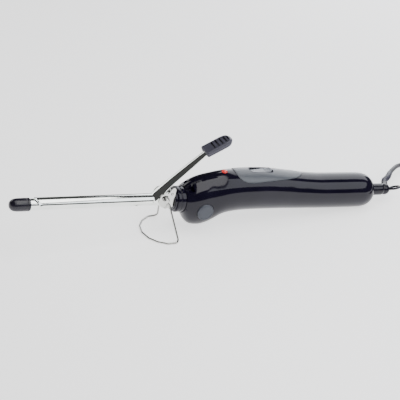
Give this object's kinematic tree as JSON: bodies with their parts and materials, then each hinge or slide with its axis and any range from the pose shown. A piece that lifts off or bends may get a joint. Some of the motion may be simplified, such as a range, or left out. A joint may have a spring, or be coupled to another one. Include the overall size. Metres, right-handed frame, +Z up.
{
  "type": "hair curling iron",
  "caption": "Thin-barrel hair curling iron with a sprung clip and thumb lever, hinged wire stand, moulded handle with rocker switch and lamp, and a swivel mains lead.",
  "frame": {"origin": "middle of the base of the iron's bounding box, on the table it rests on, without the mains lead", "axes": "+X along the iron from the cool tip to the cord end, +Z up from the table, +Y to the right seen from the tip"},
  "size_m": [0.4738, 0.1007, 0.0858],
  "materials": {
    "chrome": "mirror-bright chrome plate",
    "steel": "plain bright steel",
    "gloss_black": "glossy near-black with a faint violet cast",
    "matte_black": "satin black moulding",
    "grey": "satin mid grey",
    "light_grey": "satin light grey",
    "slate": "satin slate grey",
    "red_lens": "clear red moulding",
    "mica": "pressed mica sheet",
    "ceramic": "unglazed ceramic",
    "board": "printed board",
    "brass": "turned brass",
    "lead_wire": "sleeved wire",
    "cord_pvc": "satin dark grey PVC",
    "white": "plain white moulding"
  },
  "bodies": {
    "handle": {"barrel_tube": "chrome", "cool_tip": "gloss_black", "tip_plug": "ceramic", "heater_core": "ceramic", "mica_sleeve": "mica", "heater_lead_line": "lead_wire", "heater_lead_neutral": "lead_wire", "thermal_fuse": "white", "saddle_bracket": "steel", "pivot_rivet_left": "steel", "pivot_rivet_right": "steel", "spring_pin": "steel", "clip_spring": "steel", "neck_collar": "gloss_black", "handle_shell_left": "gloss_black", "handle_shell_right": "gloss_black", "switch_panel": "grey", "shell_screw_1": "steel", "shell_screw_2": "steel", "shell_screw_3": "steel", "side_cap_left": "slate", "side_cap_right": "slate", "switch_body": "matte_black", "rocker_pin": "steel", "indicator_lens": "red_lens", "indicator_lamp": "white", "circuit_board": "board", "dropper_resistor": "ceramic", "lead_to_switch_line": "lead_wire", "lead_to_switch_neutral": "lead_wire", "swivel_socket": "matte_black", "contact_disc": "brass", "swivel_bush": "white", "mains_cord": "cord_pvc", "cord_coil": "cord_pvc", "cord_tail": "cord_pvc", "plug_body": "matte_black", "plug_pin_1": "brass", "plug_pin_2": "brass"},
    "clip": {"clip_and_lever": "chrome", "thumb_rest": "matte_black"},
    "stand": {"wire_stand": "steel"},
    "rocker": {"rocker_button": "light_grey"},
    "swivel": {"swivel_stem": "gloss_black", "hanging_loop": "gloss_black"}
  },
  "joints": [
    {"name": "clip_hinge", "type": "hinge", "parent": "handle", "child": "clip", "pos_m": [-0.0543, 0, 0.03565], "axis": [0, 1, 0], "range_deg": [0, 20], "stiffness_Nm_per_rad": 0.12, "springref_deg": -34.38},
    {"name": "stand_hinge", "type": "hinge", "parent": "handle", "child": "stand", "pos_m": [-0.0543, 0, 0.03565], "axis": [0, 1, 0], "range_deg": [0, 50]},
    {"name": "rocker_tilt", "type": "hinge", "parent": "handle", "child": "rocker", "pos_m": [0.03782, 0, 0.04339], "axis": [0, 1, 0], "range_deg": [0, 9]},
    {"name": "cord_swivel", "type": "hinge", "parent": "handle", "child": "swivel", "pos_m": [0.16206, 0, 0.01338], "axis": [0.9956, 0, -0.0932], "continuous": true}
  ]
}
